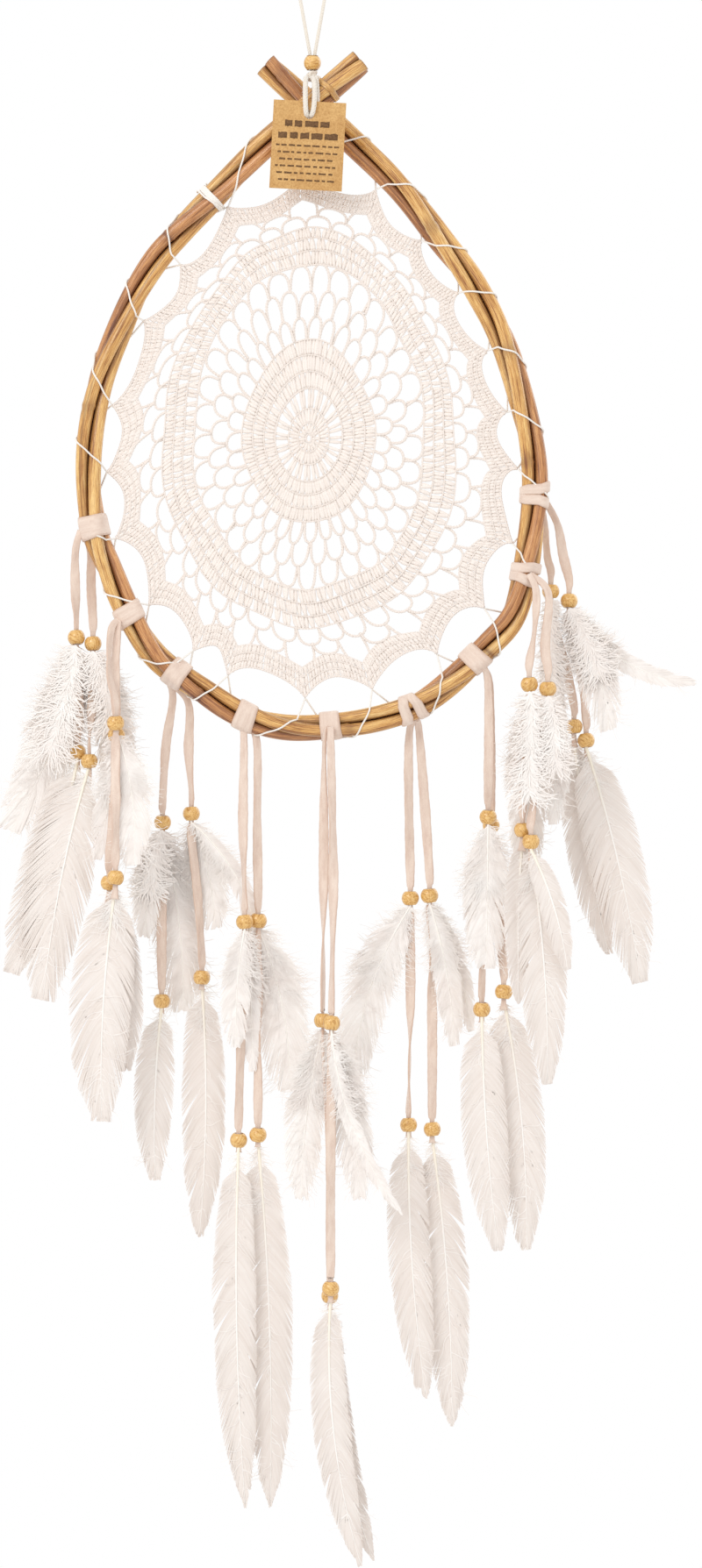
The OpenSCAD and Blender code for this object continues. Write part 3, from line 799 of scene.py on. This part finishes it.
def band(shape, middle, width, thick, slit=0.0, skew=0.0):
    """A flat band pulled round the three canes at an index of the hoop's line."""
    i = min(int(middle), len(HOOP_LINE) - 2)
    spacing = np.linalg.norm(HOOP_LINE[i + 1] - HOOP_LINE[i])
    across = np.linspace(-1, 1, 9)
    gap, sides = 0.12, 60
    angle = np.linspace(0, TURN, sides, endpoint=False)
    rounding = thick * (1 - 0.45 * np.abs(across) ** 8)
    shift = slit + skew * np.cos(angle)
    w = across[:, None] * width / 2 + shift[None]
    u = middle + w / spacing
    facing = np.broadcast_to(angle[None], u.shape)
    outer = wrapped(u, facing, (gap + rounding)[:, None])
    inner = wrapped(u, facing, gap)
    rings = np.concatenate([outer, inner[::-1]])
    n = len(rings)
    girth = np.broadcast_to(angle[None, :, None] * BUNDLE_R, (n, sides, 1))
    place = np.concatenate([w, w[::-1]])[..., None]
    grain = np.concatenate([place, np.zeros_like(place), girth], axis=2)
    edges = np.abs(np.concatenate([across, across[::-1]])) ** 8 * 0.55
    shape.add(rings.reshape(-1, 3), ring_quads(n, sides), (), grain.reshape(-1, 3),
              np.repeat(edges, sides))


# Laces, by number, whose two turns round the hoop stand apart, and how much they slant
CROSSED = {5: 1.6, 7: 1.0, 8: 1.4}


def hitch_bands():
    shape = Shape()
    for k, q in enumerate(HITCHES):
        i = nearest(q)
        skew = CROSSED.get(k)
        if skew is None:
            band(shape, i, width=11.8, thick=1.2, skew=0.35)
            continue
        for sign in (-1, 1):
            band(shape, i, width=5.9, thick=1.2, slit=sign * 3.3, skew=sign * skew)
    make("lace_bands", shape, SUEDE, "hoop", ["lace_hitches"])


def binding_strip():
    shape = Shape()
    band(shape, 3.5, width=3.4, thick=0.5, skew=0.5)
    make("crossing_strip", shape, SPLIT, "hoop", ["crossing_binding"])


THREAD_R = 0.52
THREAD_TONE = 0.15
# The thread's turn round the canes: its start and span, as shares of the way to the next point,
# and its first angle and sweep in degrees
TURN_START, TURN_SPAN = 0.085, 0.726
FIRST_ANGLE, ANGLE_SWEEP = -135, 270


def lacing():
    route = []
    last = len(TIPS) - 1
    for k, tip in enumerate(TIPS):
        start = TIES[k]
        end = start - 2 * HOOP_STEPS if k == last else TIES[k + 1]
        share = np.linspace(0, 1, 49)
        u = start + (end - start) * (TURN_START + TURN_SPAN * share)
        route.append(np.array([[tip[0], 0, tip[1]]]))
        route.append(taut(u, np.radians(ANGLE_SWEEP * share + FIRST_ANGLE), THREAD_R + 0.1))
    path = resample(np.concatenate(route), 1.0)
    shape = Shape()
    tube(shape, path, THREAD_R, 7, THREAD_TONE, (0.3, 1, 0.2))
    make("lacing", shape, THREAD, "hoop", ["lacing_thread"])
    wrap = Shape()
    i = nearest(THREAD_START)
    turns = 5
    spacing = 7.0
    angle = np.linspace(0, TURN * turns, 60 * turns)
    u = i + (np.linspace(-1.9, 1.9, len(angle)) + 0.5 * np.sin(angle)) / spacing
    tube(wrap, wrapped(u, angle, 0.7), 0.6, 7, THREAD_TONE)
    angle = np.linspace(0.4, TURN + 0.4, 70)
    u = i + np.linspace(-3.6, 4.2, 70) / spacing
    tube(wrap, wrapped(u, angle, 1.5), 0.55, 7, THREAD_TONE)
    make("thread_start", wrap, THREAD, "hoop", ["thread_wrap"])


for index in range(3):
    cane(index)
hitch_bands()
binding_strip()
lacing()


# -------- web

# Radii of the web's rows. An oval in the middle turns into a star of 21 points at its edge.
WEB_EDGE = 120
STAR_STARTS = 58
BORDER_FOOT = 106
POSTS_AT, POST_GAP = 108.0, 1.72
NET_TOP = 93.0


def web_place(k, s):
    """Where a point of the web lies: k counts its points round it, s is its radius."""
    count = len(TIPS)
    k = np.asarray(k, float)
    s = np.asarray(s, float)
    turn = TURN * k / count
    tall = 1.4 + 0.11 * np.cos(turn)
    oval = np.stack([np.sin(turn), tall * np.cos(turn)], axis=-1) * s[..., None]
    i = np.floor(k).astype(int)
    t = (k - i)[..., None]
    a, b, c, d = (TIPS[(i + o) % count] - WEB_CENTRE for o in (-1, 0, 1, 2))
    star = spline(a, b, c, d, t) * (s / WEB_EDGE)[..., None]
    w = np.clip((s - STAR_STARTS) / (WEB_EDGE - STAR_STARTS), 0, 1)[..., None]
    w = w * w * (3 - 2 * w)
    p = WEB_CENTRE + oval * (1 - w) + star * w
    loose = (np.clip(s / 40, 0, 1) * np.clip((WEB_EDGE + 1 - s) / 12, 0, 1))[..., None]
    x, z = p[..., 0], p[..., 1]
    drift = np.stack([np.sin(z / 11 + 1.3 * np.sin(x / 17)),
                      np.sin(x / 9 + 1.1 * np.sin(z / 14))], -1)
    return p + drift * 1.1 * loose


def skewed(k):
    """The share of the way between two points. On the right the hollow is nearer the first."""
    right = np.clip(np.sin(TURN * np.asarray(k, float) / len(TIPS)), 0, 1)
    return np.mod(k, 1) ** (1 - 0.32 * right)


def scallop(k):
    """The radius of the web's edge."""
    return WEB_EDGE - 9.6 * np.sin(math.pi * skewed(k)) ** 0.75


def border_foot(k):
    return BORDER_FOOT - 6.5 * np.sin(math.pi * skewed(k)) ** 0.9


class Crochet:
    def __init__(self, seed):
        self.shape = Shape()
        self.rng = np.random.default_rng(seed)

    def yarn(self, k, s, y, radius=0.5):
        """A row of chain stitches along a curve of the web."""
        spacing, stitch, sides = 0.6, 1.7, 5
        flat = web_place(k, s)
        depth = np.broadcast_to(np.asarray(y, float), flat.shape[:1])
        path = resample(np.stack([flat[:, 0], depth, flat[:, 1]], axis=1), spacing)
        run = lengths(path)
        swell = radius * (1 + 0.22 * np.sin(TURN * run / stitch + self.rng.uniform(0, 6)))
        # Painted shade between stitches: the tone rises and falls once per stitch.
        dark = 0.2 + 0.3 * (0.5 - 0.5 * np.sin(TURN * run / stitch))
        tube(self.shape, path, swell, sides, np.repeat(dark, sides))

    def ring(self, s, y=-0.3, radius=0.5, count=240):
        k = np.linspace(0, len(TIPS), count)
        self.yarn(k, np.full(count, float(s)), y, radius)

    def post(self, k, foot, head, radius, lean=0.0, y=0.0):
        """One stitch: a short twisted length from row to row."""
        share = np.linspace(0, 1, 6)
        s = foot + (head - foot) * share
        ks = k + lean * share
        flat = web_place(ks, s)
        wave = y + 0.35 * np.sin(share * math.pi) * self.rng.choice([-1, 1]) * 0.6
        path = np.stack([flat[:, 0], wave, flat[:, 1]], axis=1)
        swell = radius * (0.78 + 0.3 * np.sin(math.pi * share) ** 0.7)
        swell = swell * (1 + 0.1 * np.cos(share * 2 * TURN))
        u, v = transported(path)
        sweep(self.shape, path, u, v, circle(6), swell * 1.35, swell, self.rng.uniform(0.0, 0.28))

    def row(self, foot, head, count, radius, jitter, lean=0.0, gaps=None):
        """A ring of posts. Gaps (3, 2) leaves out every third one."""
        span = len(TIPS) / count
        for n in range(count):
            if gaps and n % gaps[0] >= gaps[1]:
                continue
            k = (n + self.rng.uniform(-jitter, jitter)) * span
            side = self.rng.choice([-1, 1]) * lean * span
            self.post(k, foot + self.rng.uniform(-0.3, 0.3), head + self.rng.uniform(-0.3, 0.3),
                      radius, side, self.rng.uniform(-0.15, 0.15))

    def arch(self, k0, k1, foot, rise, y, radius, power):
        """A chain from one stitch to the next that bulges outwards."""
        share = np.linspace(0, 1, 15)
        k = k0 + (k1 - k0) * (share - 0.075 * np.sin(TURN * share))
        s = foot + rise * np.sin(math.pi * share) ** power
        self.yarn(k, s, y + 0.25 * np.cos(math.pi * share), radius)


def net(c, count, levels, radius):
    """Rows of chain arches, each row set half an arch along from the one before."""
    span = len(TIPS) / count
    for level, (foot, head) in enumerate(zip(levels, levels[1:])):
        for n in range(count):
            k0 = (n + 0.5 * level + c.rng.uniform(-0.1, 0.1)) * span
            k1 = (n + 1 + 0.5 * level + c.rng.uniform(-0.1, 0.1)) * span
            rise = head - foot + c.rng.uniform(-0.7, 0.9)
            c.arch(k0, k1, foot, rise, -0.15 if n % 2 else 0.2, radius, 0.58)


def dense_middle(c):
    """The dense middle, small holes, and the dense ring round them."""
    for s in (1.6, 3.2):
        c.ring(s, -0.2, 0.6, 60)
    c.row(2.0, 6.0, 16, 0.72, 0.2)
    c.ring(6.0, -0.45, 0.5, 90)
    c.row(5.8, 11.4, 34, 0.76, 0.15)
    c.ring(11.4, -0.45, 0.5, 120)
    c.row(11.4, 18.6, 60, 0.66, 0.12, 0.1, gaps=(3, 2))
    c.ring(18.8, -0.45, 0.55, 160)
    for foot, head, posts in ((18.8, 25.0, 92), (25.0, 31.2, 116), (31.2, 37.4, 138)):
        c.row(foot, head, posts, 0.8, 0.15, 0.25)
        c.ring(head, -0.5, 0.5, 230)


def fans(c):
    c.ring(66.4, -0.3, 0.55, 420)
    for foot, head, posts in ((66.4, 72.6, 232), (72.6, 78.8, 252), (78.8, 85.0, 272)):
        c.row(foot, head, posts, 0.8, 0.2, 0.5)
        c.ring(head, -0.6, 0.5, 460)


def outer_net(c):
    """A row of arches, and a row that reaches up to the border."""
    count, radius, foot = 42, 0.78, NET_TOP - 0.4
    net(c, count, (85.0, NET_TOP), radius)
    span = len(TIPS) / count
    for n in range(count):
        k0, k1 = (n + 0.5) * span, (n + 1.5) * span
        rise = float(border_foot((k0 + k1) / 2)) - foot
        c.arch(k0, k1, foot, rise, 0.15 if n % 2 else -0.15, radius, 0.5)


def pointed_border(c):
    fine = np.linspace(0, len(TIPS), 1100)
    for share in (0.0, 0.34, 0.67, 1.0):
        s = border_foot(fine) * (1 - share) + scallop(fine) * share
        c.yarn(fine, s, -0.4 if share else -0.1, 0.52 if share < 1 else 0.62)
    for k in range(len(TIPS)):
        arc = web_place(np.linspace(k, k + 1, 20), np.full(20, POSTS_AT))
        posts = int(lengths(arc)[-1] / POST_GAP)
        for n in range(posts):
            place = k + (n + c.rng.uniform(-0.2, 0.2)) / posts
            low, high = float(border_foot(place)), float(scallop(place))
            for j in range(3):
                foot = low + (high - low) * j / 3
                c.post(place, foot, foot + (high - low) / 3, 0.74, c.rng.uniform(-0.012, 0.012),
                       c.rng.uniform(-0.15, 0.15))


def crochet_web():
    c = Crochet(3)
    dense_middle(c)
    net(c, 33, (37.4, 46.6, 56.2, 66.2), 0.84)
    fans(c)
    outer_net(c)
    pointed_border(c)
    web = make("crochet_web", c.shape, WEB, "hoop", ["web"])


crochet_web()


# -------- knot, bead, lashing and tag

def knot_and_bead():
    rng = np.random.default_rng(5)
    shape = Shape()
    bead(shape, np.array([0, 0, -65.9]), rng, 8.0, 2.7)
    make("top_bead", shape, BEAD, "hanger_bead", ["loop_bead"])
    knot = Shape()
    a = np.linspace(0, TURN, 60)
    for z, r, tilt in ((-71.9, 1.9, 0.25), (-73.4, 2.3, -0.3), (-75.0, 1.9, 0.3)):
        loop = np.stack([r * np.cos(a), r * np.sin(a), z + tilt * r * np.cos(a)], axis=1)
        plied(knot, resample(loop, 0.45), 1.15, 3, 4.0, (0, 0, 1))
    over = np.stack([2.4 * np.cos(a) * 0.55, -2.3 + 0.7 * np.cos(a), -73.4 + 2.1 * np.sin(a)], 1)
    plied(knot, resample(over, 0.45), 0.95, 3, 4.0, (1, 0, 0))
    loop = [[1.6, -2.6, -74.6], [3.4, -3.4, -74.4], [4.6, -3.6, -75.9], [3.8, -3.7, -77.6],
            [2.2, -3.4, -77.3], [1.4, -3.0, -76.0]]
    plied(knot, resample(smooth(loop, 8), 0.45), 0.85, 3, 3.6, (0, 1, 0))
    make("cotton_knot", knot, CORD, "hanger_bead", ["loop_knot"])


def lashing():
    shape = Shape()
    plied(shape, resample(smooth(LASHING_ROUTE, 6), 0.55), 1.25, 3, 5.2, (1, 0, 0))
    make("lashing_cord", shape, CORD, "hoop", ["crossing_lashing"])


def tag_strands():
    shape = Shape()
    route = np.array(TAG_CORD_ROUTE, float)
    for side, out in ((-1, -0.8), (1, 2.3)):
        bulge = out * np.clip(np.sin(np.linspace(0, math.pi, len(route))), 0, 1) ** 1.5
        strand = route + np.array([TAG_HOLE[0], 0, 0])
        strand[:, 0] += side * 1.08 + bulge - 0.4
        path = resample(smooth(strand, 8), 0.5)
        plied(shape, path, 1.5, 4, 6.5, (1, 0, 0), phase=side)
        rng = np.random.default_rng(20 + side)
        add_fuzz(shape, path, 1.4, 220, rng)
    a = np.linspace(0, 2 * TURN, 90)
    behind = TAG_HOLE + np.array([0, 2.3, 0])
    coil = np.stack([1.9 * np.cos(a), np.linspace(-0.4, 0.4, 90), 1.9 * np.sin(a)], axis=1)
    plied(shape, resample(coil + behind, 0.5), 0.95, 3, 4.0)
    make("tag_strands", shape, CORD, "tag_cord", ["tag_cord"])


def add_fuzz(shape, path, reach, count, rng):
    """Loose cotton fibres on a cord."""
    i = rng.integers(1, len(path) - 1, count)
    way = unit(rng.normal(size=(count, 3)))
    share = np.linspace(0, 1, 4)[None, :, None]
    bend = unit(rng.normal(size=(count, 3)))
    centre = (path[i][:, None] + way[:, None] * reach * (0.6 + share * 0.7)
              + bend[:, None] * share ** 2 * 0.6)
    strips(shape, centre, np.full((count, 4), 0.05), 0.05, np.full(count, 0.1))


def tag_point(a, b, y):
    """A point of the card from its own across and up, measured from the hole."""
    c, s = math.cos(TAG_LEAN), math.sin(TAG_LEAN)
    return np.stack([TAG_HOLE[0] + a * c + b * s, np.broadcast_to(y, np.shape(a)),
                     TAG_HOLE[2] - a * s + b * c], axis=-1)


def tag_print():
    """Plain bars in rows, which stand for print and form no letters."""
    rng = np.random.default_rng(11)
    shape = Shape()
    rows = [(-5.4, 3.4, 13.5, (3.6, 8.0), 1.4), (-12.2, 3.4, 17, (3.6, 8.0), 1.4)]
    rows += [(-17.8 - 3.9 * j, 1.0, 18.0 - 1.1 * (j % 3), (1.6, 4.6), 1.2) for j in range(6)]
    card_front = TAG_HOLE[1] - 0.3
    for b, tall, half, widths, gap in rows:
        a = -half
        while a < half - widths[0]:
            width = min(rng.uniform(*widths), half - a)
            n = 6
            xs = np.linspace(a, a + width, n)
            upper, lower = (
                tag_point(xs, b + edge + 0.05 * tall * rng.normal(size=n), card_front - 0.06)
                for edge in (tall / 2, -tall / 2)
            )
            back = np.array([0, 0.09, 0])
            rings = np.stack([lower, upper, upper + back, lower + back], axis=1)
            caps = [[0, 1, 2, 3], [n * 4 - j for j in (1, 2, 3, 4)]]
            shape.add(rings.reshape(-1, 3), tube_quads(n, 4)[:, ::-1], caps)
            a += width + gap * rng.uniform(0.8, 1.3)
    make("tag_print", shape, INK, "hang_tag")


knot_and_bead()
lashing()
tag_strands()
tag_print()
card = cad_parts["hang_tag"]
card.data.materials.clear()
card.data.materials.append(CARD)


# -------- feathers

BARB_GAP = 0.72


def vane_swell(t, downy):
    """How wide the vane is along its shaft, out of one, with a pointed tip."""
    profile = np.sin(math.pi * np.clip(t, 0, 1) ** (0.8 if downy else 0.74))
    point = np.clip((1.003 - t) / (0.1 if downy else 0.2), 0, 1) ** 0.55
    return np.clip(profile, 0, 1) ** (0.5 if downy else 0.52) * point


class Feather:
    def __init__(self, facts, seed, soft):
        root, tip, self.width, self.bow = facts
        self.root = np.array(root, float)
        self.rng = np.random.default_rng(seed)
        self.soft = soft
        self.run = np.array(tip, float) - self.root
        self.length = np.linalg.norm(self.run)
        self.side = unit(np.cross([0, 1, 0], [self.run[0], 0, self.run[2]]))
        self.camber = self.rng.uniform(-0.1, 0.1)

    def shaft(self, t):
        t = np.asarray(t, float)
        forward = np.clip(t, -0.05, 1.0)
        depth = np.minimum(1, 4 * np.maximum(t, 0))
        p = self.root + self.run * np.stack([forward, depth, forward], axis=-1)
        return p + self.side * (self.bow * 4 * forward * (1 - forward))[..., None]

    def clumps(self, count):
        """Barbs hook together in clumps: each has a middle, a pull towards it and a length."""
        middle, pull, size = np.zeros(count), np.zeros(count), np.zeros(count)
        i = 0
        while i < count:
            n = int(self.rng.integers(7, 34))
            strong = self.rng.random() < (0.4 if self.soft else 0.22)
            middle[i:i + n] = i + n / 2
            pull[i:i + n] = self.rng.uniform(*((0.25, 0.5) if strong else (0.0, 0.1)))
            size[i:i + n] = self.rng.uniform(0.86 if self.soft else 0.93, 1.0)
            i += n
        return middle, pull, size

    def vane(self, shape, sign):
        rng = self.rng
        start = 0.1 if self.soft else 0.06
        count = int(self.length * (1 - start) / BARB_GAP)
        t = np.linspace(start, 0.992, count)
        middle, pull, size = self.clumps(count)
        share = np.linspace(0, 1, 8)[None]
        wide = self.width / 2 * vane_swell(t, self.soft)
        slope = np.radians(np.interp(t, [0, 0.3, 1], [52, 38, 16]) + rng.uniform(-1.2, 1.2, count))
        ahead = wide / np.tan(slope)
        t_end = np.clip(t + ahead / self.length, 0, 1.0)
        ahead = (t_end - t) * self.length
        wide_end = self.width / 2 * vane_swell(np.minimum(t_end, 0.985), self.soft)
        wide_end = wide_end * 0.62 + wide * 0.38
        wide_end = wide_end * size * (1 + rng.normal(0, 0.035 if self.soft else 0.014, count))
        wide_end *= 1.08 if sign > 0 else 0.92
        forward = ahead[:, None] * share ** 1.25
        forward += ((middle - np.arange(count)) * BARB_GAP * pull)[:, None] * share ** 1.6
        lateral = wide_end[:, None] * (0.25 * share + 0.75 * share ** 0.92)
        along = t[:, None] + forward / self.length
        base = self.shaft(np.clip(along, 0, 1.0))
        curl = self.camber * lateral * share + 0.25 * rng.normal(size=(count, 1)) * share ** 2
        wave = 0.5 * np.sin(t * 11 + rng.uniform(0, 6))[:, None] * share ** 2
        centre = base + self.side * (sign * lateral)[..., None]
        centre[..., 1] += np.clip(curl + wave, -1.7, 1.7)
        half = BARB_GAP * 0.62 * (1 - 0.72 * share ** 4) * np.ones((count, 1))
        tone = (0.13 if self.soft else 0.62) + 0.4 * pull * rng.random(count)
        tone = np.clip(tone + rng.normal(0, 0.08, count), 0, 0.9)
        strips(shape, centre, half, 0.14, tone)

    def down(self, shape, count, low, high, reach, plane=None):
        """Loose downy barbs along the shaft, or over the lace in a plane of their own."""
        rng = self.rng
        steps = 9
        t = rng.uniform(low, high, count)
        sign = rng.choice([-1, 1], count)
        grown = np.sqrt(np.clip((t - low) / (high - low) + 0.25, 0, 1))
        long = reach * rng.uniform(0.45, 1.0, count) * grown
        share = np.linspace(0, 1, steps)[None]
        angle = rng.uniform(0.35, 1.35, count)
        bend = rng.normal(0, 0.5, count)
        heading = angle[:, None] + bend[:, None] * share + 0.35 * np.sin(
            share * rng.uniform(4, 9, (count, 1)) + rng.uniform(0, 6, (count, 1)))
        step = (long / (steps - 1))[:, None]
        lateral = np.cumsum(np.sin(heading) * step, axis=1) - np.sin(heading[:, :1]) * step
        forward = np.cumsum(np.cos(heading) * step, axis=1) - np.cos(heading[:, :1]) * step
        base = self.shaft(t)[:, None]
        down = unit(self.run * np.array([1, 0, 1]))
        centre = base + self.side * (sign[:, None] * lateral)[..., None] + down * forward[..., None]
        if plane is not None:
            centre[..., 1] = plane
        centre[..., 1] += rng.uniform(-1.5, 1.5, (count, 1)) * share
        half = (0.23 if plane is None else 0.5) * (1 - 0.6 * share) * np.ones((count, 1))
        strips(shape, centre, half, 0.12, rng.uniform(0.0, 0.3, count))

    def quill(self, shape):
        t = np.concatenate([[-0.03], np.linspace(0, 0.985, 36)])
        path = self.shaft(t)
        path[0] = path[1] + np.array([0, 0, 3.0])
        radius = np.interp(t, [-0.03, 0.15, 1], [0.95, 0.7, 0.13]) * (0.7 if self.soft else 1.0)
        pale = np.full(len(t), 0.9) if self.soft else np.clip(0.25 + 2.2 * t, 0, 1)
        forward = np.array([0, 0.0 if self.soft else 0.1, 0])
        tube(shape, path - forward, radius, 8, np.repeat(pale, 8))


# Feathers, by streamer and number, whose down lies over a lace, and the depth of that plane
TUFTS = {(0, 0): -6.5, (0, 1): -6.5, (2, 3): 9.5, (7, 0): -28.5, (7, 1): -28.5, (8, 0): 9.0,
         (8, 2): 9.0}


def feather_group(k, facts, tier, soft):
    vanes, quills = Shape(), Shape()
    for n, fact in enumerate(facts):
        feather = Feather(fact, 1000 * (k + 1) + 100 * soft + n, soft)
        for sign in (-1, 1):
            feather.vane(vanes, sign)
        size = feather.length * feather.width
        if soft:
            feather.down(vanes, int(150 + size / 6), 0.0, 0.42, 6 + feather.width * 0.62)
            feather.down(vanes, int(size / 16), 0.3, 0.9, 4 + feather.width * 0.62)
            if (k, n) in TUFTS:
                feather.down(vanes, 560, 0.0, 0.55, 7 + feather.width * 0.4, TUFTS[k, n])
        else:
            feather.down(vanes, int(40 + size / 50), 0.01, 0.16, 3 + feather.width * 0.42)
            feather.down(vanes, int(size / 60), 0.15, 0.9, 2 + feather.width * 0.55)
        feather.quill(quills)
    body = f"streamer_{k + 1}"
    node = f"feathers_{tier}_{k + 1}"
    make(f"vanes_{tier}_{k + 1}", vanes, VANE, body, [node], False)
    make(f"quills_{tier}_{k + 1}", quills, QUILL, body, [node])


for k in range(len(UPPER_FEATHERS)):
    feather_group(k, UPPER_FEATHERS[k], "upper", True)
    feather_group(k, LOWER_FEATHERS[k], "lower", False)
